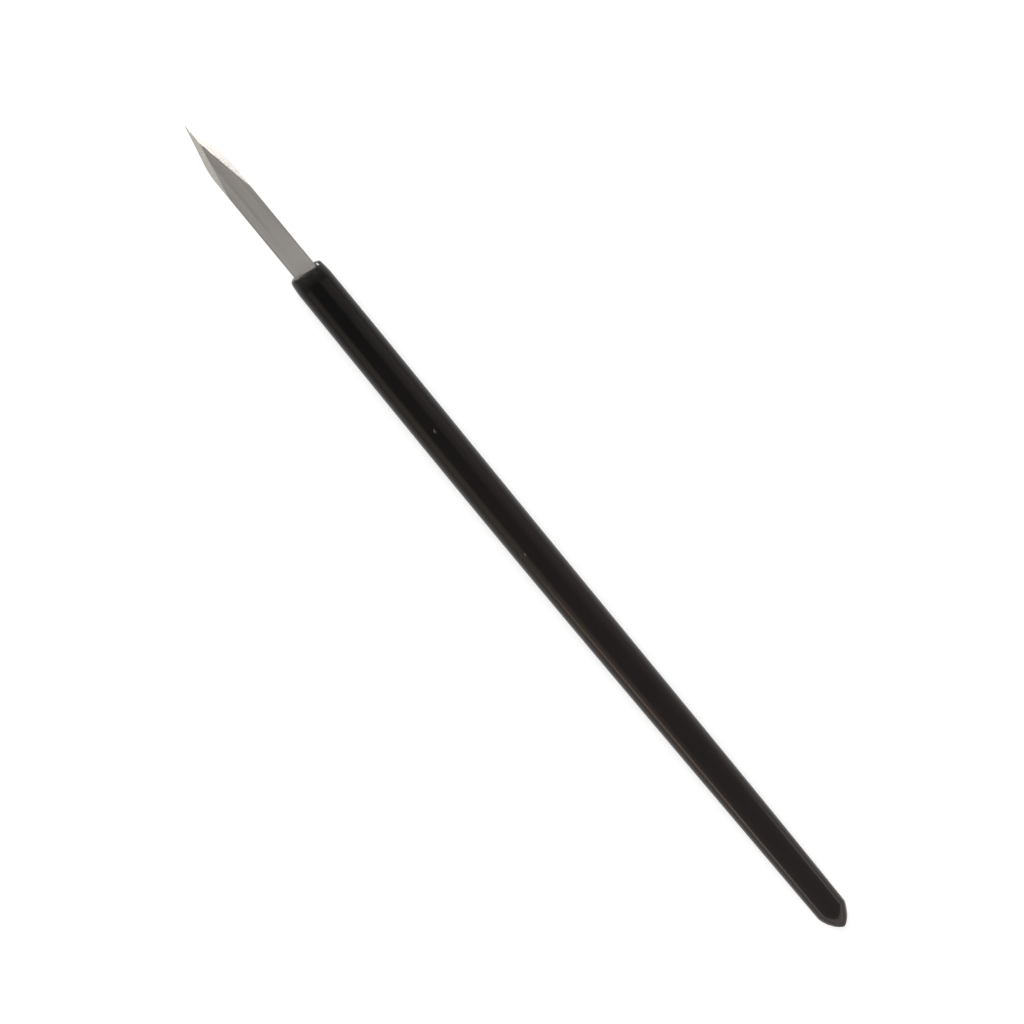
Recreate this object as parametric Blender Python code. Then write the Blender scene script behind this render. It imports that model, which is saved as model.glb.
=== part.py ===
"""Hand scraper: a double-edged spear blade cemented by its tang into a turned handle.

Units are metres and +Z is up. The tool lies flat with +X towards its point, and the origin is
at the bottom centre of the whole tool. Every piece is modelled about the centre of the
handle's mouth, with the tool's axis along X, and is carried there by one empty.
"""

from math import cos, hypot, pi, radians, sin, tan

import bmesh
import bpy
from mathutils import Vector

# Blade: a steel strip with a spear point ground on both faces
BLADE_REACH = 0.0308
BLADE_WIDTH = 0.00405
BLADE_THICKNESS = 0.0008
POINT_HALF_ANGLE = radians(12.7)
BEVEL_ANGLE = radians(22.4)

# Tang: the blade's narrow tapered root, behind one shoulder at each edge
SHOULDER_WIDTH = 0.001
TANG_LENGTH = 0.026
TANG_END_WIDTH = 0.001

# Cement round the tang, and the clearance between pieces that seat in each other
CEMENT_WALL = 0.0003
CEMENT_END = 0.001
SEAT_GAP = 0.0001

# Bore for the tang, with the cone that a drill leaves
DRILL_POINT_ANGLE = radians(118)

# Handle: lengths run from the mouth, rises are added to the radius
HANDLE_LENGTH = 0.1392
MOUTH_RIM = 0.0005
MOUTH_EDGE_RADIUS = 0.0005
NOSE_LENGTH = 0.0033
NOSE_RISE = 0.000165
BELLY_DISTANCE = 0.031
BELLY_RISE = 0.000033
TAIL_DIAMETER = 0.00524
TAIL_LENGTH = 0.004

# Form of the taper, which quickens towards the tail, and of the tail, which ends in a round tip
TAPER_POWER = 1.5
TAIL_FULLNESS = 0.9

# Facets of the round pieces
SIDES = 24
EDGE_STEPS = 5
NOSE_STEPS = 4
BELLY_STEPS = 4
TAPER_STEPS = 10
TAIL_STEPS = 9

MERGE_DISTANCE = 1e-7
SMOOTH_ANGLE = radians(30)

# Sizes that follow from those above
TANG_WIDTH = BLADE_WIDTH - 2 * SHOULDER_WIDTH
TANG_ROOM_WIDTH = max(TANG_WIDTH, TANG_END_WIDTH) + 2 * SEAT_GAP
TANG_ROOM_THICKNESS = BLADE_THICKNESS + 2 * SEAT_GAP
SHOULDER_X = SEAT_GAP
TANG_END_X = SHOULDER_X - TANG_LENGTH
CEMENT_BASE_X = TANG_END_X - SEAT_GAP - CEMENT_END
CEMENT_RADIUS = hypot(TANG_ROOM_WIDTH, TANG_ROOM_THICKNESS) / 2 + CEMENT_WALL
BORE_BASE_X = CEMENT_BASE_X - SEAT_GAP
BORE_RADIUS = CEMENT_RADIUS + SEAT_GAP
MOUTH_FACE_RADIUS = hypot(BLADE_WIDTH, BLADE_THICKNESS) / 2 + MOUTH_RIM
MOUTH_RADIUS = MOUTH_FACE_RADIUS + MOUTH_EDGE_RADIUS
HEAD_RADIUS = MOUTH_RADIUS + NOSE_RISE
BELLY_RADIUS = HEAD_RADIUS + BELLY_RISE
TAIL_RADIUS = TAIL_DIAMETER / 2
TAIL_SHOULDER = HANDLE_LENGTH - TAIL_LENGTH
MOUTH_X = (HANDLE_LENGTH - BLADE_REACH) / 2


def clear_scene():
    """Remove whatever the file holds, so that only the tool is left."""
    for thing in list(bpy.data.objects):
        bpy.data.objects.remove(thing, do_unlink=True)


def finish(name, color, roughness, metallic):
    """One surface finish as a Principled material."""
    material = bpy.data.materials.new(name)
    material.use_nodes = True
    surface = material.node_tree.nodes["Principled BSDF"]
    surface.inputs["Base Color"].default_value = (*color, 1.0)
    surface.inputs["Roughness"].default_value = roughness
    surface.inputs["Metallic"].default_value = metallic
    return material


def piece(name, shape, material, carrier):
    """Turn a finished bmesh into a named object on the carrier."""
    mesh = bpy.data.meshes.new(name)
    shape.to_mesh(mesh)
    shape.free()
    mesh.materials.append(material)
    thing = bpy.data.objects.new(name, mesh)
    thing.parent = carrier
    bpy.context.scene.collection.objects.link(thing)
    return thing


def shade_round(thing):
    """Shade a turned piece smooth, with its true edges kept sharp."""
    thing.data.shade_smooth()
    thing.data.set_sharp_from_angle(angle=SMOOTH_ANGLE)


def turned(outline):
    """Spin (x, radius) points round X, from the lowest line. Radii reach the corners of the facets."""
    shape = bmesh.new()
    points = [shape.verts.new((x, 0, -radius)) for x, radius in outline]
    edges = [shape.edges.new(pair) for pair in zip(points, points[1:])]
    bmesh.ops.spin(
        shape,
        geom=points + edges,
        cent=(0, 0, 0),
        axis=(1, 0, 0),
        angle=2 * pi,
        steps=SIDES,
        use_merge=True,
    )
    bmesh.ops.remove_doubles(shape, verts=shape.verts, dist=MERGE_DISTANCE)
    bmesh.ops.recalc_face_normals(shape, faces=shape.faces)
    return shape


def plate(outlines, thickness):
    """Flat outlines that share an edge, given one thickness about the XY plane."""
    shape = bmesh.new()
    for outline in outlines:
        shape.faces.new([shape.verts.new((x, y, -thickness / 2)) for x, y in outline])
    bmesh.ops.remove_doubles(shape, verts=shape.verts, dist=MERGE_DISTANCE)
    raised = bmesh.ops.extrude_face_region(shape, geom=shape.faces[:])
    corners = [part for part in raised["geom"] if isinstance(part, bmesh.types.BMVert)]
    bmesh.ops.translate(shape, verts=corners, vec=(0, 0, thickness))
    bmesh.ops.recalc_face_normals(shape, faces=shape.faces)
    return shape


def grind_bevel(shape, side, face):
    """Grind one bevel: a plane through the point and one cutting edge, sloping up to one flat."""
    normal = Vector(
        (
            sin(POINT_HALF_ANGLE) * sin(BEVEL_ANGLE),
            side * cos(POINT_HALF_ANGLE) * sin(BEVEL_ANGLE),
            face * cos(BEVEL_ANGLE),
        )
    )
    bmesh.ops.bisect_plane(
        shape,
        geom=shape.verts[:] + shape.edges[:] + shape.faces[:],
        dist=MERGE_DISTANCE,
        plane_co=(BLADE_REACH, 0, 0),
        plane_no=normal,
        clear_outer=True,
    )
    rim = [edge for edge in shape.edges if edge.is_boundary]
    bmesh.ops.holes_fill(shape, edges=rim, sides=0)


def blade(steel, carrier):
    """The strip with its tang, ground to a spear point on both faces."""
    strip = [
        (SHOULDER_X, -TANG_WIDTH / 2),
        (SHOULDER_X, -BLADE_WIDTH / 2),
        (BLADE_REACH, -BLADE_WIDTH / 2),
        (BLADE_REACH, BLADE_WIDTH / 2),
        (SHOULDER_X, BLADE_WIDTH / 2),
        (SHOULDER_X, TANG_WIDTH / 2),
    ]
    tang = [
        (TANG_END_X, -TANG_END_WIDTH / 2),
        (SHOULDER_X, -TANG_WIDTH / 2),
        (SHOULDER_X, TANG_WIDTH / 2),
        (TANG_END_X, TANG_END_WIDTH / 2),
    ]
    shape = plate([strip, tang], BLADE_THICKNESS)
    for side in (-1, 1):
        for face in (-1, 1):
            grind_bevel(shape, side, face)
    bmesh.ops.remove_doubles(shape, verts=shape.verts, dist=MERGE_DISTANCE)
    bmesh.ops.recalc_face_normals(shape, faces=shape.faces)
    piece("blade", shape, steel, carrier)


def tail_outline():
    """The pointed, rounded tail, from its tip to its shoulder."""
    for step in range(TAIL_STEPS, 0, -1):
        along = sin(pi / 2 * step / TAIL_STEPS)
        yield -TAIL_SHOULDER - TAIL_LENGTH * along, TAIL_RADIUS * (1 - along**2) ** TAIL_FULLNESS


def taper_outline():
    """The long taper, from the tail's shoulder to the belly."""
    for step in range(TAPER_STEPS, 0, -1):
        along = step / TAPER_STEPS
        distance = BELLY_DISTANCE + (TAIL_SHOULDER - BELLY_DISTANCE) * along
        yield -distance, BELLY_RADIUS - (BELLY_RADIUS - TAIL_RADIUS) * along**TAPER_POWER


def head_outline():
    """The belly, the nearly parallel head and the nose that draws in to the mouth."""
    for step in range(BELLY_STEPS):
        along = step / BELLY_STEPS
        distance = BELLY_DISTANCE + (NOSE_LENGTH - BELLY_DISTANCE) * along
        yield -distance, BELLY_RADIUS - BELLY_RISE * along**2
    for step in range(NOSE_STEPS):
        along = step / NOSE_STEPS
        distance = NOSE_LENGTH + (MOUTH_EDGE_RADIUS - NOSE_LENGTH) * along
        yield -distance, HEAD_RADIUS - NOSE_RISE * along**2


def mouth_outline():
    """The rounded edge of the mouth, then its flat face to the bore and the bore to the drill's point."""
    for step in range(EDGE_STEPS + 1):
        turn = pi / 2 * step / EDGE_STEPS
        yield MOUTH_EDGE_RADIUS * (sin(turn) - 1), MOUTH_FACE_RADIUS + MOUTH_EDGE_RADIUS * cos(turn)
    yield 0, BORE_RADIUS
    yield BORE_BASE_X, BORE_RADIUS
    yield BORE_BASE_X - BORE_RADIUS / tan(DRILL_POINT_ANGLE / 2), 0


def handle(enamel, carrier):
    """The turned handle with its blind bore."""
    outline = [*tail_outline(), *taper_outline(), *head_outline(), *mouth_outline()]
    shade_round(piece("handle", turned(outline), enamel, carrier))


def tang_cement(resin, carrier):
    """The plug of cement that fills the bore, with room for the tang left in it."""
    outline = [
        (CEMENT_BASE_X - CEMENT_RADIUS / tan(DRILL_POINT_ANGLE / 2), 0),
        (CEMENT_BASE_X, CEMENT_RADIUS),
        (0, CEMENT_RADIUS),
        (0, 0),
    ]
    plug = piece("tang_cement", turned(outline), resin, carrier)
    shade_round(plug)
    room_outline = [
        (TANG_END_X - SEAT_GAP, -TANG_END_WIDTH / 2 - SEAT_GAP),
        (SHOULDER_X, -TANG_WIDTH / 2 - SEAT_GAP),
        (SHOULDER_X, TANG_WIDTH / 2 + SEAT_GAP),
        (TANG_END_X - SEAT_GAP, TANG_END_WIDTH / 2 + SEAT_GAP),
    ]
    room = piece("tang_room", plate([room_outline], TANG_ROOM_THICKNESS), resin, carrier)
    room.hide_render = True
    room.display_type = "WIRE"
    cut = plug.modifiers.new("room for the tang", "BOOLEAN")
    cut.operation = "DIFFERENCE"
    cut.solver = "EXACT"
    cut.object = room


def main():
    """Build the three pieces on one carrier at the centre of the mouth."""
    clear_scene()
    carrier = bpy.data.objects.new("mouth_centre", None)
    carrier.location = (MOUTH_X, 0, BELLY_RADIUS)
    bpy.context.scene.collection.objects.link(carrier)
    blade(finish("ground steel", (0.53, 0.50, 0.46), 0.35, 1.0), carrier)
    handle(finish("black enamel", (0.010, 0.009, 0.009), 0.12, 0.0), carrier)
    tang_cement(finish("set resin", (0.42, 0.33, 0.20), 0.5, 0.0), carrier)


main()
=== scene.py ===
"""Looks of the hand scraper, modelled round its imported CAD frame.

Units are metres. The tool lies along X with its point at +X, on a pale floor at Z = 0. The
handle, the blade and the cement are modelled again with their fine detail and stand for their
CAD nodes. The drops of enamel on the coat are the scene's own.
"""

from __future__ import annotations

import logging
from collections.abc import Callable, Iterator
from dataclasses import dataclass, field
from enum import Enum
from math import atan2, cos, hypot, pi, radians, sin, tan

import bmesh
import bpy
from mathutils import Matrix, Vector

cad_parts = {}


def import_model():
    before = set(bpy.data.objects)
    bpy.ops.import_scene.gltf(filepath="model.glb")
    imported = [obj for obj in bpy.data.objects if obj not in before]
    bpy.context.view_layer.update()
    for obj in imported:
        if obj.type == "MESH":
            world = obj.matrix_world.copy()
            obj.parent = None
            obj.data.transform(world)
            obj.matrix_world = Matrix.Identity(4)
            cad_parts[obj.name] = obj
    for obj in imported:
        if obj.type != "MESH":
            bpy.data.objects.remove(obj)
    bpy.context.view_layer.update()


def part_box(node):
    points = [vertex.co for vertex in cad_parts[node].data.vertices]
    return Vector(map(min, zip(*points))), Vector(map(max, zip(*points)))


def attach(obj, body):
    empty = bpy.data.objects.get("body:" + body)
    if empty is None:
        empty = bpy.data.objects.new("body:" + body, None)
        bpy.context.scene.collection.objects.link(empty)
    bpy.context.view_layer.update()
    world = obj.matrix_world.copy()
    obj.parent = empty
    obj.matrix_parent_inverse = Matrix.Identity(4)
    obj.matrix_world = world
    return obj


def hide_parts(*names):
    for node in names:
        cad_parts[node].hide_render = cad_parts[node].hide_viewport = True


LOG = logging.getLogger("hand_scraper")
BODY = "root"
MERGE_DISTANCE = 1e-7

# Size of the plane that is merged into the first point of an outline
SEED_SIZE = 0.001

# How much of a direction a face's normal has, at least, when the face looks that way
FACING = 0.9

# Where most values of a noise lie
NOISE_SPAN = (0.3, 0.7)

# Places of the colour sockets on a mix node
MIX_FIRST = 6
MIX_SECOND = 7
MIX_RESULT = 2

Color = tuple[float, float, float]
Point = tuple[float, float, float]
Span = tuple[float, float]
Outline = Iterator[tuple[float, float]]


class Node(Enum):
    """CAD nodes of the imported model."""

    BLADE = "blade"
    HANDLE = "handle"
    CEMENT = "tang_cement"


class Slot(Enum):
    """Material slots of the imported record."""

    STEEL = "ground_steel"
    ENAMEL = "black_enamel"
    RESIN = "set_resin"


class Pick(Enum):
    """The kinds of mesh element that can be selected."""

    VERT = "verts"
    EDGE = "edges"
    FACE = "faces"


class NodeBoard:
    """A node tree, with short ways to add nodes and join them."""

    def __init__(self, tree: bpy.types.NodeTree) -> None:
        """Take a tree and empty it."""
        self.tree = tree
        tree.nodes.clear()

    def add(self, kind: str, inputs: dict | None = None, **settings: object) -> bpy.types.Node:
        """Add a node.

        Args:
            kind: Blender's name of the node type.
            inputs: Values for its inputs. An output of another node is linked.
            settings: Values for the node's own properties.

        Returns:
            The new node.
        """
        node = self.tree.nodes.new(kind)
        for name, value in settings.items():
            setattr(node, name, value)
        for name, value in (inputs or {}).items():
            if isinstance(value, bpy.types.NodeSocket):
                self.tree.links.new(value, node.inputs[name])
            else:
                node.inputs[name].default_value = value
        return node

    def place(self, scale: Point = (1.0, 1.0, 1.0), turn: Point = (0, 0, 0)) -> bpy.types.NodeSocket:
        """Object coordinates, turned and stretched.

        Args:
            scale: Repeats per metre along each axis.
            turn: Rotation of the pattern about each axis.

        Returns:
            The coordinate output.
        """
        place = self.add("ShaderNodeTexCoord").outputs["Object"]
        inputs = {"Vector": place, "Scale": scale, "Rotation": turn}
        return self.add("ShaderNodeMapping", inputs).outputs["Vector"]

    def axis(self, vector: bpy.types.NodeSocket, name: str) -> bpy.types.NodeSocket:
        """One part of a vector, by the name of its axis."""
        return self.add("ShaderNodeSeparateXYZ", {"Vector": vector}).outputs[name]

    def noise(self, place: bpy.types.NodeSocket, detail: float, scale: float = 1.0) -> bpy.types.NodeSocket:
        """Smooth noise.

        Args:
            place: The coordinates that it reads.
            detail: How many finer layers it has.
            scale: Its fineness.

        Returns:
            The noise as a factor about 0.5.
        """
        inputs = {"Vector": place, "Scale": scale, "Detail": detail}
        return self.add("ShaderNodeTexNoise", inputs).outputs["Fac"]

    def spread(
        self, value: bpy.types.NodeSocket, span: Span, to: Span = (0.0, 1.0)
    ) -> bpy.types.NodeSocket:
        """Stretch a span of values over another, and hold the ends.

        Args:
            value: The value to stretch.
            span: The lowest and highest value that count.
            to: What they become.

        Returns:
            The stretched value.
        """
        inputs = {
            "Value": value,
            "From Min": span[0],
            "From Max": span[1],
            "To Min": to[0],
            "To Max": to[1],
        }
        return self.add("ShaderNodeMapRange", inputs).outputs["Result"]

    def math(self, how: str, first: object, second: object) -> bpy.types.NodeSocket:
        """Join two values.

        Args:
            how: Blender's name of the operation.
            first: A number or an output.
            second: A number or an output.

        Returns:
            The result.
        """
        node = self.add("ShaderNodeMath", {0: first, 1: second}, operation=how)
        return node.outputs["Value"]

    def blend(self, factor: bpy.types.NodeSocket, first: object, second: object) -> bpy.types.NodeSocket:
        """Mix two colours.

        Args:
            factor: 0 gives the first colour and 1 the second.
            first: A colour or an output.
            second: A colour or an output.

        Returns:
            The mixed colour.
        """
        sides = [(*side, 1.0) if isinstance(side, tuple) else side for side in (first, second)]
        inputs = {"Factor": factor, MIX_FIRST: sides[0], MIX_SECOND: sides[1]}
        return self.add("ShaderNodeMix", inputs, data_type="RGBA").outputs[MIX_RESULT]

    def bump(self, height: bpy.types.NodeSocket, depth: float) -> bpy.types.NodeSocket:
        """Relief in the surface.

        Args:
            height: The relief, from 0 to 1.
            depth: Its height in metres.

        Returns:
            The bent normal.
        """
        inputs = {"Height": height, "Strength": 1.0, "Distance": depth}
        return self.add("ShaderNodeBump", inputs).outputs["Normal"]

    def finish(self, inputs: dict) -> None:
        """Make the surface a Principled one with these inputs."""
        surface = self.add("ShaderNodeBsdfPrincipled", inputs)
        self.add("ShaderNodeOutputMaterial", {"Surface": surface.outputs["BSDF"]})


def new_material(name: str) -> tuple[bpy.types.Material, NodeBoard]:
    """Make a material with an empty node tree.

    Args:
        name: Its name.

    Returns:
        The material and its board.
    """
    material = bpy.data.materials.new(name)
    material.use_nodes = True
    return material, NodeBoard(material.node_tree)


@dataclass(frozen=True)
class BrushedSteel:
    """Flats and sides of the strip, brushed lengthwise, with painted light that brightens them towards the
    root.
    """

    name: str = "steel, brushed along the strip"
    dark: Color = (0.52, 0.494, 0.458)
    bright: Color = (0.624, 0.593, 0.551)
    warm: Color = (0.593, 0.541, 0.50)
    roughness: Span = (0.30, 0.40)
    anisotropy: float = 0.5
    hair: Point = (70.0, 7000.0, 7000.0)
    hair_share: float = 0.5
    streak: Point = (22.0, 1700.0, 1700.0)
    tone_span: Span = (0.36, 0.64)
    stain: Point = (110.0, 420.0, 420.0)
    stain_span: Span = (0.42, 0.62)
    stain_strength: Span = (0.0, 0.8)
    depth: float = 1.2e-6
    # Painted light: the steel's colour is brightened from the point to the root, up to this gain
    point_x: float = 0.0655
    root_x: float = 0.054
    root_painted_light_gain: float = 1.29

    def build(self) -> bpy.types.Material:
        """Make the material.

        Returns:
            The material.
        """
        material, board = new_material(self.name)
        hair = board.noise(board.place(self.hair), detail=3.0)
        streak = board.noise(board.place(self.streak), detail=2.0)
        stain = board.noise(board.place(self.stain), detail=1.0)
        hairs = board.math("MULTIPLY", hair, self.hair_share)
        streaks = board.math("MULTIPLY", streak, 1 - self.hair_share)
        marks = board.math("ADD", hairs, streaks)
        steel = board.blend(board.spread(marks, self.tone_span), self.dark, self.bright)
        stained = board.spread(stain, self.stain_span, self.stain_strength)
        mottled = board.blend(stained, steel, self.warm)
        along = board.axis(board.place(), "X")
        # Painted light: brighter steel towards the root, standing in for light that falls there
        painted_root_light = board.spread(along, (self.point_x, self.root_x), (1.0, self.root_painted_light_gain))
        color = board.add("ShaderNodeVectorMath", {0: mottled, "Scale": painted_root_light}, operation="SCALE")
        board.finish(
            {
                "Base Color": color.outputs["Vector"],
                "Metallic": 1.0,
                "Roughness": board.spread(marks, NOISE_SPAN, self.roughness),
                "Anisotropic": self.anisotropy,
                "Tangent": board.add("ShaderNodeTangent", direction_type="UV_MAP").outputs["Tangent"],
                "Normal": board.bump(hair, self.depth),
            }
        )
        return material


@dataclass(frozen=True)
class GroundBevel:
    """Bevels of the point, ground across the edge and stoned bright."""

    name: str = "steel, ground across the edge"
    dark: Color = (0.53, 0.505, 0.47)
    bright: Color = (0.61, 0.585, 0.545)
    roughness: Span = (0.26, 0.34)
    grain: Point = (9000.0, 300.0, 300.0)
    tone_span: Span = (0.35, 0.65)
    slant: float = radians(12.7)
    depth: float = 0.12e-6

    def build(self) -> bpy.types.Material:
        """Make the material.

        Returns:
            The material.
        """
        material, board = new_material(self.name)
        grain = board.noise(board.place(self.grain, (0, 0, self.slant)), detail=3.0)
        tone = board.spread(grain, self.tone_span)
        board.finish(
            {
                "Base Color": board.blend(tone, self.dark, self.bright),
                "Metallic": 1.0,
                "Roughness": board.spread(grain, NOISE_SPAN, self.roughness),
                "Normal": board.bump(grain, self.depth),
            }
        )
        return material


@dataclass(frozen=True)
class BlackEnamel:
    """The glossy dipped coat, greyer at the mouth's rim as a painted sheen, and darker at the head and
    browner and brighter towards the tail as painted shade and light.
    """

    name: str = "enamel, black and glossy"
    # Painted sheen: the coat is lighter at the mouth's rim, standing in for light reflected there
    rim_painted_sheen: Color = (0.0170, 0.0158, 0.0150)
    # Painted shade and light: darker at the head, browner and brighter towards the tail
    head: Color = (0.0044, 0.0045, 0.0046)
    middle: Color = (0.0132, 0.0108, 0.0104)
    tail: Color = (0.0187, 0.0156, 0.0151)
    tint: Color = (1.0, 0.84, 0.75)
    rim_sheen_x: Span = (0.0514, 0.0532)
    head_x: float = 0.045
    middle_x: float = -0.015
    tail_x: float = -0.080
    head_roughness: float = 0.17
    tail_roughness: float = 0.15
    unevenness: Span = (0.88, 1.12)
    ior: float = 1.24
    peel: float = 900.0
    cloud: float = 140.0
    cloud_span: Span = (0.2, 0.8)
    patchiness: Span = (0.8, 1.2)
    depth: float = 0.7e-6

    def build(self) -> bpy.types.Material:
        """Make the material.

        Returns:
            The material.
        """
        material, board = new_material(self.name)
        place = board.place()
        cloud = board.noise(place, detail=2.0, scale=self.cloud)
        peel = board.noise(place, detail=1.0, scale=self.peel)
        along = board.axis(place, "X")
        # Painted shade and light along the handle: darkest at the head, in random patches, then browner and
        # brighter towards the tail
        head_shade_ramp = board.spread(along, (self.head_x, self.middle_x))
        patchy_head_shade = board.math("MULTIPLY", head_shade_ramp, board.spread(cloud, self.cloud_span, self.patchiness))
        tail_light_ramp = board.spread(along, (self.middle_x, self.tail_x))
        painted_tone = board.blend(tail_light_ramp, board.blend(patchy_head_shade, self.head, self.middle), self.tail)
        # Painted sheen at the mouth's rim
        rim_sheen_ramp = board.spread(along, self.rim_sheen_x)
        gloss = board.spread(along, (self.head_x, self.tail_x), (self.head_roughness, self.tail_roughness))
        uneven = board.spread(cloud, NOISE_SPAN, self.unevenness)
        board.finish(
            {
                "Base Color": board.blend(rim_sheen_ramp, painted_tone, self.rim_painted_sheen),
                "Roughness": board.math("MULTIPLY", gloss, uneven),
                "IOR": self.ior,
                "Specular Tint": (*self.tint, 1.0),
                "Normal": board.bump(peel, self.depth),
            }
        )
        return material


def thick_enamel() -> BlackEnamel:
    """The coat where it set thick, smooth and glassy.

    Returns:
        The finish.
    """
    return BlackEnamel(
        name="enamel, thick and glassy",
        # The drop has no painted sheen at the rim
        rim_painted_sheen=BlackEnamel.head,
        tint=(1.0, 1.0, 1.0),
        head_roughness=0.06,
        tail_roughness=0.06,
        ior=1.6,
        depth=0.02e-6,
    )


@dataclass(frozen=True)
class SetResin:
    """Hard set cement, with a grainy break."""

    name: str = "resin, set hard"
    pale: Color = (0.46, 0.37, 0.23)
    deep: Color = (0.34, 0.25, 0.14)
    roughness: Span = (0.42, 0.58)
    grain: float = 2600.0
    depth: float = 8e-6

    def build(self) -> bpy.types.Material:
        """Make the material.

        Returns:
            The material.
        """
        material, board = new_material(self.name)
        grain = board.noise(board.place(), detail=4.0, scale=self.grain)
        board.finish(
            {
                "Base Color": board.blend(grain, self.deep, self.pale),
                "Roughness": board.spread(grain, NOISE_SPAN, self.roughness),
                "Normal": board.bump(grain, self.depth),
            }
        )
        return material


@dataclass(frozen=True)
class PaleFloor:
    """Matt white paper that shows as white where nothing shades it."""

    name: str = "paper, matt white"
    color: Color = (0.80, 0.80, 0.80)
    lift: float = 0.49

    def build(self) -> bpy.types.Material:
        """Make the material.

        Returns:
            The material.
        """
        material, board = new_material(self.name)
        path = board.add("ShaderNodeLightPath").outputs
        mirrored = board.math("MAXIMUM", path["Is Glossy Ray"], path["Is Transmission Ray"])
        seen = board.math("MAXIMUM", path["Is Camera Ray"], mirrored)
        paper = board.add("ShaderNodeBsdfDiffuse", {"Color": (*self.color, 1.0)})
        glow = board.add("ShaderNodeEmission", {"Strength": board.math("MULTIPLY", seen, self.lift)})
        shaders = {0: paper.outputs["BSDF"], 1: glow.outputs["Emission"]}
        both = board.add("ShaderNodeAddShader", shaders)
        board.add("ShaderNodeOutputMaterial", {"Surface": both.outputs["Shader"]})
        return material


def start_piece() -> None:
    """Leave edit mode and deselect everything, so that a new primitive stands alone."""
    if bpy.context.object and bpy.context.object.mode != "OBJECT":
        bpy.ops.object.mode_set(mode="OBJECT")
    bpy.ops.object.select_all(action="DESELECT")


def choose(kind: Pick, test: Callable[[Vector, Vector], bool]) -> None:
    """Select the elements of the mesh in edit mode that pass a test, and no others.

    Args:
        kind: The kind of element.
        test: Takes an element's centre and its normal. An edge's normal is the sum of its faces'.
    """
    bpy.ops.mesh.select_mode(type=kind.name)
    bpy.ops.mesh.select_all(action="DESELECT")
    mesh = bpy.context.edit_object.data
    shape = bmesh.from_edit_mesh(mesh)
    for element in getattr(shape, kind.value):
        if test(*middle_and_normal(element)):
            element.select_set(True)
    shape.select_flush_mode()
    bmesh.update_edit_mesh(mesh)


def middle_and_normal(
    element: bmesh.types.BMVert | bmesh.types.BMEdge | bmesh.types.BMFace,
) -> tuple[Vector, Vector]:
    """Where an element is and which way it faces.

    Args:
        element: A vertex, edge or face.

    Returns:
        Its centre, and its normal.
    """
    if isinstance(element, bmesh.types.BMVert):
        return element.co, element.normal
    if isinstance(element, bmesh.types.BMEdge):
        normals = sum((face.normal for face in element.link_faces), Vector())
        return (element.verts[0].co + element.verts[1].co) / 2, normals
    return element.calc_center_median(), element.normal


def cut_away(place: Point | Vector, outward: Vector) -> None:
    """Cut the mesh in edit mode by a plane, drop what lies outside and close the cut.

    Args:
        place: A point of the plane.
        outward: The way from what stays to what goes.
    """
    bpy.ops.mesh.select_all(action="SELECT")
    bpy.ops.mesh.bisect(
        plane_co=place, plane_no=outward, use_fill=True, clear_outer=True, threshold=MERGE_DISTANCE
    )


def weld() -> None:
    """Merge the doubles of the mesh in edit mode."""
    bpy.ops.mesh.select_all(action="SELECT")
    bpy.ops.mesh.remove_doubles(threshold=MERGE_DISTANCE)


def face_out() -> None:
    """Turn the faces of the mesh in edit mode outwards."""
    bpy.ops.mesh.select_all(action="SELECT")
    bpy.ops.mesh.normals_make_consistent(inside=False)


def ramp(value: float, span: Span) -> float:
    """How far a value lies along a span, held at 0 before it and at 1 after it.

    Args:
        value: The value.
        span: Where the ramp starts and ends.

    Returns:
        A share from 0 to 1.
    """
    return min(max((value - span[0]) / (span[1] - span[0]), 0.0), 1.0)


def finish_piece(
    thing: bpy.types.Object, name: str, nodes: list[Node], angle: float
) -> bpy.types.Object:
    """Close a new piece: smooth it, put its place in its mesh, and set it on the frame.

    Args:
        thing: The piece, in object mode.
        name: The piece's name.
        nodes: The CAD nodes that it stands for.
        angle: Edges sharper than this stay sharp.

    Returns:
        The same piece.
    """
    thing.name = name
    thing.data.name = name
    bpy.ops.object.shade_smooth_by_angle(angle=angle)
    bpy.ops.object.transform_apply(location=True, rotation=True, scale=True)
    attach(thing, BODY)
    if nodes:
        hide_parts(*[node.value for node in nodes])
    return thing


@dataclass(frozen=True)
class SealRing:
    """One ring of the coat where it closes round the blade's root.

    Args:
        rise: Height of the ring over the mouth's hollow.
        margin: Clear distance from the blade.
        squareness: 0 leaves the ring round and 1 follows the blade's section.
    """

    rise: float
    margin: float
    squareness: float


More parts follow.
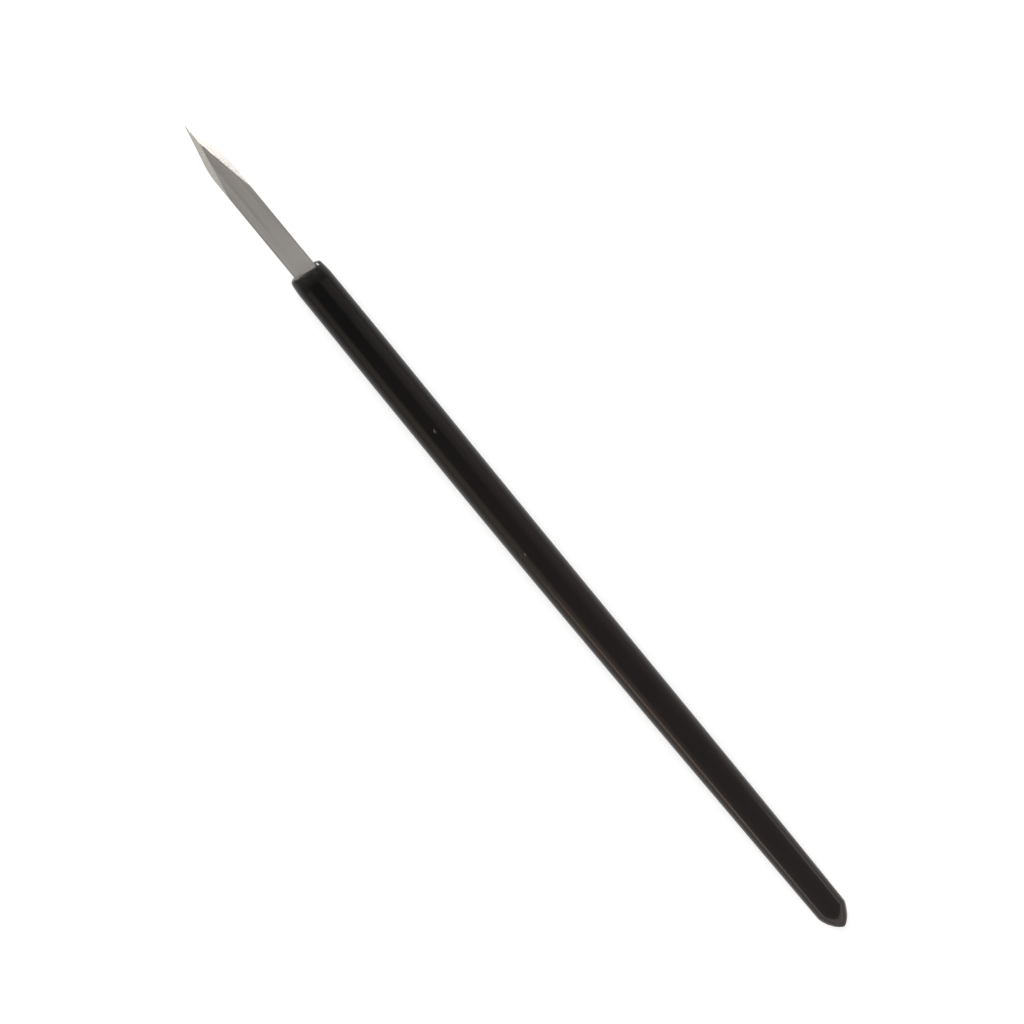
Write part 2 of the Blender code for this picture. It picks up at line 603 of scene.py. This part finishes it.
@dataclass
class EnamelledHandle:
    """The turned handle in its coat, with the bore for the tang.

    Lengths run from the mouth towards the tail, and rises are added to the radius.
    """

    length: float = 0.13892
    mouth_setback: float = 0.00028
    mouth_face_radius: float = 0.002564
    mouth_edge_radius: float = 0.0005
    nose_length: float = 0.0033
    nose_rise: float = 0.000200
    belly_distance: float = 0.024
    belly_rise: float = 0.000041
    tail_radius: float = 0.00266
    tail_length: float = 0.0036
    taper_power: float = 1.9
    tail_bluntness: float = 1.4
    tail_fullness: float = 0.68
    tail_skew: float = 0.06
    tail_skew_reach: float = 0.0016
    tail_offset: float = 0.00004
    bore_radius: float = 0.001631
    bore_depth: float = 0.0271
    drill_point_angle: float = radians(118)
    blade_width: float = 0.00405
    blade_thickness: float = 0.0008
    blade_corner: float = 0.00002
    sides: int = 144
    tail_steps: int = 26
    taper_steps: int = 70
    belly_steps: int = 18
    nose_steps: int = 10
    edge_steps: int = 12
    smooth_angle: float = radians(50)
    bow: float = 0.000235
    bow_skew: float = 0.83
    wave_height: float = 0.000016
    wave_length: float = 0.009
    hollow_depth: float = 0.00028
    hollow_fullness: float = 0.35
    hollow_skew: float = 1.7
    notch_depth: float = 0.00030
    notch_side: Span = (-0.0002, -0.0015)
    notch_height: Span = (0.0008, 0.0017)
    lip_rise: float = 0.00015
    lip_y: float = 0.00240
    lip_half_width: float = 0.0005
    slot_depth: float = 0.00072
    slot_flare: float = 0.0015
    seal: tuple[SealRing, ...] = (
        SealRing(0.0, 0.00044, 0.20),
        SealRing(0.0, 0.00040, 0.50),
        SealRing(0.0, 0.00034, 0.80),
        SealRing(0.0, 0.00026, 1.0),
        SealRing(0.000003, 0.00016, 1.0),
        SealRing(0.000010, 0.00009, 1.0),
        SealRing(0.000024, 0.00004, 1.0),
        SealRing(0.000045, 0.000005, 1.0),
    )
    mouth_x: float = field(init=False)
    axis_z: float = field(init=False)

    def __post_init__(self) -> None:
        """Take the place of the mouth and of the axis from the CAD node."""
        low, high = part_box(Node.HANDLE.value)
        self.mouth_x = high.x - self.mouth_setback
        self.axis_z = (low.z + high.z) / 2

    def mouth_radius(self) -> float:
        """Radius where the mouth's rounded edge begins."""
        return self.mouth_face_radius + self.mouth_edge_radius

    def belly_radius(self) -> float:
        """Largest radius."""
        return self.mouth_radius() + self.nose_rise + self.belly_rise

    def tail_outline(self) -> Outline:
        """The pointed, rounded tail from its tip.

        Yields:
            Each point as (x, radius).
        """
        shoulder = self.length - self.tail_length
        for step in range(self.tail_steps, 0, -1):
            along = sin(pi / 2 * step / self.tail_steps)
            share = (1 - along**self.tail_bluntness) ** self.tail_fullness
            yield -shoulder - self.tail_length * along, self.tail_radius * share

    def taper_outline(self) -> Outline:
        """The long taper from the tail's shoulder to the belly.

        Yields:
            Each point as (x, radius).
        """
        shoulder = self.length - self.tail_length
        for step in range(self.taper_steps, 0, -1):
            along = step / self.taper_steps
            distance = self.belly_distance + (shoulder - self.belly_distance) * along
            fall = (self.belly_radius() - self.tail_radius) * along**self.taper_power
            yield -distance, self.belly_radius() - fall

    def head_outline(self) -> Outline:
        """The belly, the nearly parallel head and the nose.

        Yields:
            Each point as (x, radius).
        """
        head_radius = self.mouth_radius() + self.nose_rise
        for step in range(self.belly_steps):
            along = step / self.belly_steps
            distance = self.belly_distance + (self.nose_length - self.belly_distance) * along
            yield -distance, self.belly_radius() - self.belly_rise * along**2
        for step in range(self.nose_steps):
            along = step / self.nose_steps
            distance = self.nose_length + (self.mouth_edge_radius - self.nose_length) * along
            yield -distance, head_radius - self.nose_rise * along**2

    def mouth_outline(self) -> Outline:
        """The mouth's rounded edge, its rings, still flat and round, the slot and the bore.

        Yields:
            Each point as (x, radius).
        """
        for step in range(self.edge_steps + 1):
            turn = pi / 2 * step / self.edge_steps
            x = self.mouth_edge_radius * (sin(turn) - 1)
            yield x, self.mouth_face_radius + self.mouth_edge_radius * cos(turn)
        for ring in self.seal:
            yield 0, self.blade_width / 2 + ring.margin
        yield -self.slot_depth, self.blade_width / 2 + self.seal[-1].margin
        yield -self.slot_flare, self.bore_radius
        yield -self.bore_depth, self.bore_radius
        yield -self.bore_depth - self.bore_radius / tan(self.drill_point_angle / 2), 0

    def turn_body(self) -> bpy.types.Object:
        """Draw the outline by extruding one vertex, and spin it.

        Returns:
            The new object, in edit mode.
        """
        outline = [
            *self.tail_outline(),
            *self.taper_outline(),
            *self.head_outline(),
            *self.mouth_outline(),
        ]
        points = [Vector((self.mouth_x + x, 0, self.axis_z + radius)) for x, radius in outline]
        start_piece()
        bpy.ops.mesh.primitive_plane_add(size=SEED_SIZE, location=points[0])
        bpy.ops.object.transform_apply(location=True, rotation=True, scale=True)
        bpy.ops.object.mode_set(mode="EDIT")
        bpy.ops.mesh.merge(type="CENTER")
        for here, there in zip(points, points[1:]):
            bpy.ops.mesh.extrude_vertices_move(TRANSFORM_OT_translate={"value": there - here})
        bpy.ops.mesh.select_all(action="SELECT")
        bpy.ops.mesh.spin(steps=self.sides, angle=2 * pi, center=(0, 0, self.axis_z), axis=(1, 0, 0))
        weld()
        return bpy.context.edit_object

    def beside_blade(self, turn: float, margin: float) -> tuple[float, float]:
        """A point of the blade's section, widened by a margin and with round corners.

        Args:
            turn: How far round, from 0 to 2 pi, in equal steps of the outline's length.
            margin: Distance from the blade.

        Returns:
            Its place across and above the axis.
        """
        wide = self.blade_width / 2 + margin
        high = self.blade_thickness / 2 + margin
        corner = margin + self.blade_corner
        lengths = (high - corner, corner * pi / 2, wide - corner)
        quarter = turn % pi
        quarter = min(quarter, pi - quarter)
        along = quarter / (pi / 2) * sum(lengths)
        if along < lengths[0]:
            y, z = wide, along
        elif along < lengths[0] + lengths[1]:
            angle = (along - lengths[0]) / corner
            y, z = wide - corner + corner * cos(angle), high - corner + corner * sin(angle)
        else:
            y, z = wide - corner - (along - lengths[0] - lengths[1]), high
        return (y if cos(turn) >= 0 else -y), (z if sin(turn) >= 0 else -z)

    def close_mouth(self) -> None:
        """Hollow the mouth's face, and bend its rings and the slot round the blade's section."""
        mesh = bpy.context.edit_object.data
        shape = bmesh.from_edit_mesh(mesh)
        rings = {round((self.blade_width / 2 + ring.margin) / MERGE_DISTANCE): ring for ring in self.seal}
        for vert in shape.verts:
            x, y, z = vert.co.x - self.mouth_x, vert.co.y, vert.co.z - self.axis_z
            ring = rings.get(round(hypot(y, z) / MERGE_DISTANCE))
            in_face = abs(x) < MERGE_DISTANCE
            if not ring or not (in_face or abs(x + self.slot_depth) < MERGE_DISTANCE):
                continue
            square_y, square_z = self.beside_blade(atan2(z, y) % (2 * pi), ring.margin)
            y += (square_y - y) * ring.squareness
            z += (square_z - z) * ring.squareness
            vert.co.y, vert.co.z = y, z + self.axis_z
            if in_face:
                vert.co.x += ring.rise - self.hollow(y, z)
        bmesh.update_edit_mesh(mesh)

    def hollow(self, y: float, z: float) -> float:
        """How far the mouth's face has sunk at a place, more on one side than on the other.

        Args:
            y: The place across the axis.
            z: The place above the axis.

        Returns:
            The depth.
        """
        share = max(1 - (y * y + z * z) / self.mouth_face_radius**2, 0.0)
        slant = 1 - self.hollow_skew * y / self.mouth_face_radius
        return self.hollow_depth * share**self.hollow_fullness * slant

    def warp(self) -> None:
        """Draw one side of the mouth back and the other out, then flatten, bow and skew the rod."""
        mesh = bpy.context.edit_object.data
        shape = bmesh.from_edit_mesh(mesh)
        flatness = 1 - self.axis_z / self.belly_radius()
        for vert in shape.verts:
            distance = self.mouth_x - vert.co.x
            y, z = vert.co.y, vert.co.z - self.axis_z
            near_mouth = 1 - ramp(distance, (0.0, self.nose_length))
            notch = ramp(y, self.notch_side) * ramp(z, self.notch_height)
            lip = max(1 - ((y - self.lip_y) / self.lip_half_width) ** 2, 0.0)
            vert.co.x += (self.lip_rise * lip - self.notch_depth * notch) * near_mouth
            if hypot(y, z) > self.bore_radius + MERGE_DISTANCE:
                vert.co.z -= z * flatness * (1 - near_mouth)
            along = ramp(distance, (0.0, self.length)) ** self.bow_skew
            vert.co.y += self.bow * sin(pi * along) ** 2
            past_shoulder = distance - self.length + self.tail_length
            vert.co.y += self.tail_offset * ramp(past_shoulder, (0.0, self.tail_length))
            vert.co.x += self.tail_skew * y * max(1 - abs(past_shoulder) / self.tail_skew_reach, 0.0)
        bmesh.update_edit_mesh(mesh)

    def ripple(self, thing: bpy.types.Object) -> None:
        """Give the outside of the coat the long, faint waves of a dip.

        Args:
            thing: The handle, in object mode.
        """
        outside = thing.vertex_groups.new(name="outside")
        reach = self.mouth_x - self.nose_length
        for vert in thing.data.vertices:
            radius = hypot(vert.co.y, vert.co.z - self.axis_z)
            if vert.co.x < reach and radius > self.bore_radius + MERGE_DISTANCE:
                fade = min(1.0, (reach - vert.co.x) / self.nose_length)
                outside.add([vert.index], fade, "REPLACE")
        clouds = bpy.data.textures.new("dip waves", "CLOUDS")
        clouds.noise_scale = self.wave_length
        clouds.noise_depth = 1
        wave = thing.modifiers.new("dip waves", "DISPLACE")
        wave.texture = clouds
        wave.texture_coords = "LOCAL"
        wave.strength = self.wave_height
        wave.mid_level = 1.0
        wave.vertex_group = outside.name
        bpy.ops.object.modifier_apply(modifier=wave.name)
        thing.vertex_groups.clear()

    def build(self, enamel: bpy.types.Material) -> bpy.types.Object:
        """Model the handle.

        Args:
            enamel: Its finish.

        Returns:
            The finished piece.
        """
        thing = self.turn_body()
        self.close_mouth()
        self.warp()
        face_out()
        bpy.ops.object.mode_set(mode="OBJECT")
        self.ripple(thing)
        thing.data.materials.append(enamel)
        return finish_piece(thing, "enamelled_handle", [Node.HANDLE], self.smooth_angle)


@dataclass
class SpearBlade:
    """The steel strip with its ground point, its shoulders and its tang.

    The ridges at +Y have the first ridge shift, and those at -Y the second.
    """

    width: float = 0.00405
    thickness: float = 0.0008
    point_half_angle: float = radians(12.7)
    bevel_angle: float = radians(22.4)
    tang_width: float = 0.00205
    tang_end_width: float = 0.001
    tang_length: float = 0.026
    shoulder_setback: float = 0.001
    apex_shift: float = 0.0004
    ridge_shift: tuple[float, float] = (0.0010, 0.0018)
    ridge_round: float = 0.000015
    ridge_steps: int = 2
    ridge_lean: float = 0.1
    side_round: float = 0.00004
    side_steps: int = 3
    corner_reach: float = 0.0018
    corner_cuts: int = 3
    flat_angle: float = radians(0.5)
    bevel_match: float = radians(8)
    smooth_angle: float = radians(20)
    tip_x: float = field(init=False)
    axis_z: float = field(init=False)
    tang_x: float = field(init=False)
    shoulder_x: float = field(init=False)

    def __post_init__(self) -> None:
        """Take the place of the blade from the CAD node."""
        low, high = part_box(Node.BLADE.value)
        self.tip_x = high.x
        self.axis_z = (low.z + high.z) / 2
        self.tang_x = low.x
        self.shoulder_x = low.x + self.tang_length - self.shoulder_setback

    def cut_strip(self) -> bpy.types.Object:
        """Cut the strip to length, and draw its root out into the tang.

        Returns:
            The new object, in edit mode.
        """
        start_piece()
        length = self.tip_x - self.shoulder_x
        middle = Vector(((self.tip_x + self.shoulder_x) / 2, 0, self.axis_z))
        bpy.ops.mesh.primitive_cube_add(size=1, location=middle, scale=(length, self.width, self.thickness))
        bpy.ops.object.transform_apply(location=True, rotation=True, scale=True)
        bpy.ops.object.mode_set(mode="EDIT")
        for side in (-1, 1):
            bpy.ops.mesh.select_all(action="SELECT")
            edge = (0, side * self.tang_width / 2, 0)
            bpy.ops.mesh.bisect(plane_co=edge, plane_no=(0, 1, 0), threshold=MERGE_DISTANCE)
        near = self.shoulder_x + MERGE_DISTANCE
        choose(Pick.FACE, lambda place, normal: place.x < near and abs(place.y) < self.tang_width / 2)
        drawn = self.tang_x - self.shoulder_x
        bpy.ops.mesh.extrude_region_move(TRANSFORM_OT_translate={"value": (drawn, 0, 0)})
        bpy.ops.transform.resize(
            value=(1, self.tang_end_width / self.tang_width, 1),
            center_override=(self.tang_x, 0, self.axis_z),
        )
        return bpy.context.edit_object

    def bevel_normal(self, side: int, face: int) -> Vector:
        """The way that one bevel faces.

        Args:
            side: 1 for the edge at +Y, and -1 for the other.
            face: 1 for the upper face, and -1 for the lower.

        Returns:
            A unit vector.
        """
        slope = sin(self.bevel_angle)
        return Vector(
            (
                sin(self.point_half_angle) * slope,
                side * cos(self.point_half_angle) * slope,
                face * cos(self.bevel_angle),
            )
        )

    def grind_point(self) -> None:
        """Cut the four bevels, each by a plane through the point and one cutting edge."""
        for side in (-1, 1):
            for face in (-1, 1):
                cut_away((self.tip_x, 0, self.axis_z), self.bevel_normal(side, face))
        weld()
        bpy.ops.mesh.dissolve_limited(angle_limit=self.flat_angle)
        face_out()

    def round_corners(self) -> None:
        """Stone the corner round where each cutting edge runs into the side of the strip."""
        radius = self.corner_reach / tan(self.point_half_angle / 2)
        corner_x = self.tip_x - self.width / 2 / tan(self.point_half_angle)
        for side in (-1, 1):
            centre = Vector((corner_x - self.corner_reach, side * (self.width / 2 - radius), self.axis_z))
            for cut in range(self.corner_cuts):
                turn = self.point_half_angle * (cut + 1) / (self.corner_cuts + 1)
                outward = Vector((sin(turn), side * cos(turn), 0))
                cut_away(centre + outward * radius, outward)
        weld()
        face_out()

    def on_flat(self, place: Vector) -> bool:
        """Whether a place lies on the upper or the lower flat, ahead of the shoulders."""
        in_flat = abs(place.z - self.axis_z) > self.thickness / 2 - MERGE_DISTANCE
        return in_flat and place.x > self.shoulder_x + MERGE_DISTANCE

    def on_side(self, distance: float) -> bool:
        """Whether a place at a distance across the axis lies on the side of the strip."""
        return distance > self.width / 2 - MERGE_DISTANCE

    def is_ridge(self, place: Vector, normal: Vector) -> bool:
        """Whether an edge of a flat is one where a bevel starts.

        Args:
            place: The middle of the edge.
            normal: The sum of its faces' normals, which is shorter the more the edge folds.

        Returns:
            True for a ridge.
        """
        folded = normal.length < 2 * cos(self.bevel_angle / 4)
        leaning = abs(normal.y) > self.ridge_lean
        return self.on_flat(place) and not self.on_side(abs(place.y)) and folded and leaning

    def dress_ridges(self) -> None:
        """Draw the ridges out at both ends, as grinding by hand leaves them."""
        choose(Pick.VERT, lambda place, normal: self.on_flat(place) and abs(place.y) < self.ridge_round)
        bpy.ops.transform.translate(value=(self.apex_shift, 0, 0))
        for side, shift in zip((1, -1), self.ridge_shift):
            choose(Pick.VERT, lambda place, normal: self.on_flat(place) and self.on_side(side * place.y))
            bpy.ops.transform.translate(value=(-shift, 0, 0))

    def ease_edges(self) -> None:
        """Round the strip's long edges and, by less, the ridges where the bevels meet the flats."""
        choose(Pick.EDGE, lambda place, normal: self.on_flat(place) and self.on_side(abs(place.y)))
        bpy.ops.mesh.bevel(offset=self.side_round, segments=self.side_steps)
        choose(Pick.EDGE, self.is_ridge)
        bpy.ops.mesh.bevel(offset=self.ridge_round, segments=self.ridge_steps)

    def paint(self, thing: bpy.types.Object, brushed: bpy.types.Material, ground: bpy.types.Material) -> None:
        """Give the bevels and the rest their finishes, and lay the brushed grain along X.

        Args:
            thing: The blade, in object mode.
            brushed: Finish of the flats, sides and tang.
            ground: Finish of the bevels.
        """
        mesh = thing.data
        mesh.materials.append(brushed)
        mesh.materials.append(ground)
        lowest = cos(self.bevel_match)
        bevels = [self.bevel_normal(side, face) for side in (-1, 1) for face in (-1, 1)]
        grain = mesh.uv_layers.active
        for polygon in mesh.polygons:
            polygon.material_index = int(any(polygon.normal.dot(way) > lowest for way in bevels))
            across = 2 if abs(polygon.normal.y) > abs(polygon.normal.z) else 1
            for loop in polygon.loop_indices:
                place = mesh.vertices[mesh.loops[loop].vertex_index].co
                grain.data[loop].uv = (place.x, place[across])

    def build(self, brushed: bpy.types.Material, ground: bpy.types.Material) -> bpy.types.Object:
        """Model the blade.

        Args:
            brushed: Finish of the flats, sides and tang.
            ground: Finish of the bevels.

        Returns:
            The finished piece.
        """
        thing = self.cut_strip()
        self.grind_point()
        self.round_corners()
        self.dress_ridges()
        self.ease_edges()
        bpy.ops.object.mode_set(mode="OBJECT")
        self.paint(thing, brushed, ground)
        finish_piece(thing, "spear_blade", [Node.BLADE], self.smooth_angle)
        even = thing.modifiers.new("even flats", "WEIGHTED_NORMAL")
        even.keep_sharp = True
        bpy.ops.object.modifier_apply(modifier=even.name)
        return thing


@dataclass
class CementPlug:
    """The set cement in the bore, sunk behind the slot of the mouth, with room for the tang."""

    radius: float = 0.001531
    sink: float = 0.0021
    drill_point_angle: float = radians(118)
    room_width: float = 0.00225
    room_end_width: float = 0.0012
    room_height: float = 0.001
    room_overrun: float = 0.001
    end_wall: float = 0.001
    sides: int = 48
    smooth_angle: float = radians(40)
    front_x: float = field(init=False)
    base_x: float = field(init=False)
    axis_z: float = field(init=False)

    def __post_init__(self) -> None:
        """Take the place of the plug from the CAD node."""
        low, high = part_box(Node.CEMENT.value)
        self.front_x = high.x - self.sink
        self.base_x = low.x + self.cone_length()
        self.axis_z = (low.z + high.z) / 2

    def cone_length(self) -> float:
        """Length of the cone that the drill left at the end of the bore."""
        return self.radius / tan(self.drill_point_angle / 2)

    def cast(self) -> bpy.types.Object:
        """Model the full plug with its pointed end.

        Returns:
            The new object, in object mode.
        """
        start_piece()
        bpy.ops.mesh.primitive_cylinder_add(
            vertices=self.sides,
            radius=self.radius,
            depth=self.front_x - self.base_x,
            location=((self.front_x + self.base_x) / 2, 0, self.axis_z),
            rotation=(0, pi / 2, 0),
        )
        bpy.ops.object.transform_apply(location=True, rotation=True, scale=True)
        bpy.ops.object.mode_set(mode="EDIT")
        choose(Pick.FACE, lambda place, normal: normal.x < -FACING)
        bpy.ops.mesh.extrude_region_move(TRANSFORM_OT_translate={"value": (-self.cone_length(), 0, 0)})
        bpy.ops.mesh.merge(type="CENTER")
        bpy.ops.object.mode_set(mode="OBJECT")
        return bpy.context.object

    def room(self) -> bpy.types.Object:
        """Model the space that the tang takes.

        Returns:
            The cutter, in object mode.
        """
        start_piece()
        end_x = self.base_x + self.end_wall
        start_x = self.front_x + self.room_overrun
        middle = ((start_x + end_x) / 2, 0, self.axis_z)
        size = (start_x - end_x, self.room_width, self.room_height)
        bpy.ops.mesh.primitive_cube_add(size=1, location=middle, scale=size)
        bpy.ops.object.transform_apply(location=True, rotation=True, scale=True)
        bpy.ops.object.mode_set(mode="EDIT")
        choose(Pick.FACE, lambda place, normal: normal.x < -FACING)
        bpy.ops.transform.resize(
            value=(1, self.room_end_width / self.room_width, 1), center_override=(end_x, 0, self.axis_z)
        )
        bpy.ops.object.mode_set(mode="OBJECT")
        return bpy.context.object

    def build(self, resin: bpy.types.Material) -> bpy.types.Object:
        """Model the cement.

        Args:
            resin: Its finish.

        Returns:
            The finished piece.
        """
        cutter = self.room()
        thing = self.cast()
        cut = thing.modifiers.new("room for the tang", "BOOLEAN")
        cut.operation = "DIFFERENCE"
        cut.object = cutter
        bpy.ops.object.modifier_apply(modifier=cut.name)
        bpy.data.objects.remove(cutter, do_unlink=True)
        thing.data.materials.append(resin)
        return finish_piece(thing, "set_cement", [Node.CEMENT], self.smooth_angle)


@dataclass(frozen=True)
class EnamelDrop:
    """A thick drop of enamel that set on the coat, half sunk in it and with a flat top.

    Args:
        name: The piece's name.
        top: The middle of the flat top.
        facing: The way that the top faces.
        half_size: Half the drop's length, width and height before its top is cut.
        cut: Where the top is cut, as a share of half the height.
        fineness: How often the faces of the ball that it starts from are split.
        smooth_angle: Edges sharper than this stay sharp.
    """

    name: str
    top: Point
    facing: Point
    half_size: Point
    cut: float = 0.82
    fineness: int = 4
    smooth_angle: float = radians(15)

    def build(self, enamel: bpy.types.Material) -> bpy.types.Object:
        """Model the drop.

        Args:
            enamel: Its finish.

        Returns:
            The finished piece.
        """
        start_piece()
        facing = Vector(self.facing).normalized()
        middle = Vector(self.top) - facing * self.half_size[2] * self.cut
        bpy.ops.mesh.primitive_ico_sphere_add(subdivisions=self.fineness, radius=1)
        thing = bpy.context.object
        across = facing.cross(Vector((1, 0, 0))).normalized()
        along = across.cross(facing)
        turned = Matrix((along, across, facing)).transposed().to_4x4()
        thing.matrix_world = Matrix.LocRotScale(middle, turned.to_quaternion(), self.half_size)
        bpy.ops.object.transform_apply(location=True, rotation=True, scale=True)
        bpy.ops.object.mode_set(mode="EDIT")
        cut_away(self.top, facing)
        weld()
        face_out()
        bpy.ops.object.mode_set(mode="OBJECT")
        thing.data.materials.append(enamel)
        return finish_piece(thing, self.name, [], self.smooth_angle)


# The drop on the mouth's shoulder and the two nibs on the rod
DROPS = (
    EnamelDrop(
        name="enamel_bead",
        top=(0.053610, -0.002320, 0.004985),
        facing=(0.1975, -0.3491, 0.9160),
        half_size=(0.00060, 0.00027, 0.00026),
    ),
    EnamelDrop(
        name="enamel_nib_fore",
        top=(0.020637, 0.000320, 0.006560),
        facing=(0.0, 0.420, 0.908),
        half_size=(0.00037, 0.00026, 0.00011),
    ),
    EnamelDrop(
        name="enamel_nib_aft",
        top=(-0.004330, 0.001670, 0.006165),
        facing=(0.0, 0.460, 0.888),
        half_size=(0.00024, 0.00020, 0.00008),
    ),
)


@dataclass(frozen=True)
class SoftBox:
    """One soft studio light.

    Args:
        name: Its name.
        place: Where it hangs.
        aim: The point that it faces.
        size: Its width and height.
        glow: How bright its face looks, where 1 is white.
        color: Its colour.
    """

    name: str
    place: Point
    aim: Point
    size: tuple[float, float]
    glow: float
    color: Color = (1.0, 1.0, 1.0)

    def hang(self) -> None:
        """Put the light in the scene."""
        lamp = bpy.data.lights.new(self.name, "AREA")
        lamp.shape = "RECTANGLE"
        lamp.size, lamp.size_y = self.size
        lamp.energy = self.glow * pi * self.size[0] * self.size[1]
        lamp.color = self.color
        thing = bpy.data.objects.new(self.name, lamp)
        thing.location = self.place
        way = Vector(self.aim) - Vector(self.place)
        thing.rotation_euler = way.to_track_quat("-Z", "Y").to_euler()
        thing.visible_camera = False
        bpy.context.scene.collection.objects.link(thing)


@dataclass
class Studio:
    """The pale floor, the soft light and the camera.

    The sky is given as pairs of height, from 0 at eye level to 1 overhead, and brightness.
    """

    floor_radius: float = 6.0
    floor_sides: int = 96
    image_pixels: int = 1024
    tool_pixels: float = 1039.7
    tool_length: float = 0.17
    turn: float = radians(50.493)
    lean: float = radians(7.0)
    aim: Point = (0.002052, -0.001078, 0.003262)
    distance: float = 5.0
    sensor: float = 36.0
    sky: tuple[tuple[float, float], ...] = (
        (0.0, 0.60),
        (0.17, 0.54),
        (0.34, 0.45),
        (0.5, 0.36),
        (0.7, 0.27),
        (1.0, 0.20),
    )
    boxes: tuple[SoftBox, ...] = (
        SoftBox("tip box", (2.2, 0.0, 1.9), (0.0, 0.0, 0.0), (3.4, 2.6), 2.8),
        SoftBox("tail wall", (-0.30, 0.0, 0.050), (0.0, 0.0, 0.050), (0.60, 0.09), 2.7),
        SoftBox("left wall", (-0.2025, 0.30, 0.041), (-0.2025, 0.0, 0.041), (0.195, 0.074), 3.2),
        SoftBox("right wall", (-0.2025, -0.30, 0.037), (-0.2025, 0.0, 0.037), (0.195, 0.066), 3.2),
        SoftBox("edge box", (0.130, -0.204, 0.227), (0.07, 0.0, 0.003), (0.05, 0.05), 13.0),
        SoftBox("head box", (-0.059, -0.35, 0.425), (-0.059, 0.0, 0.425), (0.052, 0.75), 0.58),
        SoftBox("nose box", (-0.0065, -0.35, 0.425), (-0.0065, 0.0, 0.425), (0.053, 0.75), 1.05),
        SoftBox("edge card", (0.14, 0.21, 0.22), (0.07, 0.0, 0.003), (0.10, 0.18), 1.0),
        SoftBox(
            "warm panel",
            (-0.083, 0.30, 0.05),
            (-0.04, 0.0, 0.003),
            (0.060, 0.06),
            5.0,
            color=(1.0, 0.80, 0.58),
        ),
        SoftBox(
            "side panel",
            (-0.04, 0.32, 0.178),
            (-0.04, 0.0, 0.178),
            (0.12, 0.244),
            1.25,
            color=(1.0, 0.95, 0.80),
        ),
    )

    def lay_floor(self, paper: bpy.types.Material) -> None:
        """Lay the round floor.

        Args:
            paper: Its finish.
        """
        start_piece()
        bpy.ops.mesh.primitive_circle_add(
            vertices=self.floor_sides, radius=self.floor_radius, fill_type="NGON"
        )
        floor = bpy.context.object
        floor.name = "floor"
        floor.data.materials.append(paper)

    def light_sky(self) -> None:
        """Surround the set with a room that is pale at eye level and dim overhead."""
        world = bpy.data.worlds.new("room")
        world.use_nodes = True
        bpy.context.scene.world = world
        board = NodeBoard(world.node_tree)
        way = board.add("ShaderNodeTexCoord").outputs["Generated"]
        shade = board.add("ShaderNodeValToRGB", {"Fac": board.axis(way, "Z")})
        stops = shade.color_ramp.elements
        while len(stops) < len(self.sky):
            stops.new(1.0)
        for stop, (place, value) in zip(stops, self.sky):
            stop.position = place
            stop.color = (value, value, value, 1.0)
        room = board.add("ShaderNodeBackground", {"Color": shade.outputs["Color"]})
        board.add("ShaderNodeOutputWorld", {"Surface": room.outputs["Background"]})

    def set_camera(self) -> None:
        """Look down on the tool, leaning a little to its point, with the tool across the picture."""
        back = Vector((sin(self.lean), 0, cos(self.lean)))
        to_point = Vector((cos(self.lean), 0, -sin(self.lean)))
        to_side = Vector((0, -1, 0))
        right = to_side * sin(self.turn) - to_point * cos(self.turn)
        up = to_side * cos(self.turn) + to_point * sin(self.turn)
        lens = bpy.data.cameras.new("camera")
        camera = bpy.data.objects.new("camera", lens)
        place = Vector(self.aim) + back * self.distance
        camera.matrix_world = Matrix.Translation(place) @ Matrix((right, up, back)).transposed().to_4x4()
        pixel = self.tool_length * cos(self.lean) / self.tool_pixels
        lens.sensor_width = self.sensor
        lens.lens = self.sensor * self.distance / (pixel * self.image_pixels)
        bpy.context.scene.collection.objects.link(camera)
        bpy.context.scene.camera = camera

    def build(self) -> None:
        """Set the whole studio."""
        self.lay_floor(PaleFloor().build())
        self.light_sky()
        for box in self.boxes:
            box.hang()
        self.set_camera()
        bpy.context.scene.view_settings.view_transform = "Standard"


def main() -> None:
    """Build every piece round the frame and report it, then set the studio."""
    logging.basicConfig(level=logging.INFO, format="%(message)s")
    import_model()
    pieces = [
        EnamelledHandle().build(BlackEnamel().build()),
        SpearBlade().build(BrushedSteel().build(), GroundBevel().build()),
        CementPlug().build(SetResin().build()),
    ]
    thick = thick_enamel().build()
    pieces.extend(drop.build(thick) for drop in DROPS)
    for piece in pieces:
        LOG.info("%s: %d faces", piece.name, len(piece.data.polygons))
    Studio().build()


if __name__ == "__main__":
    main()
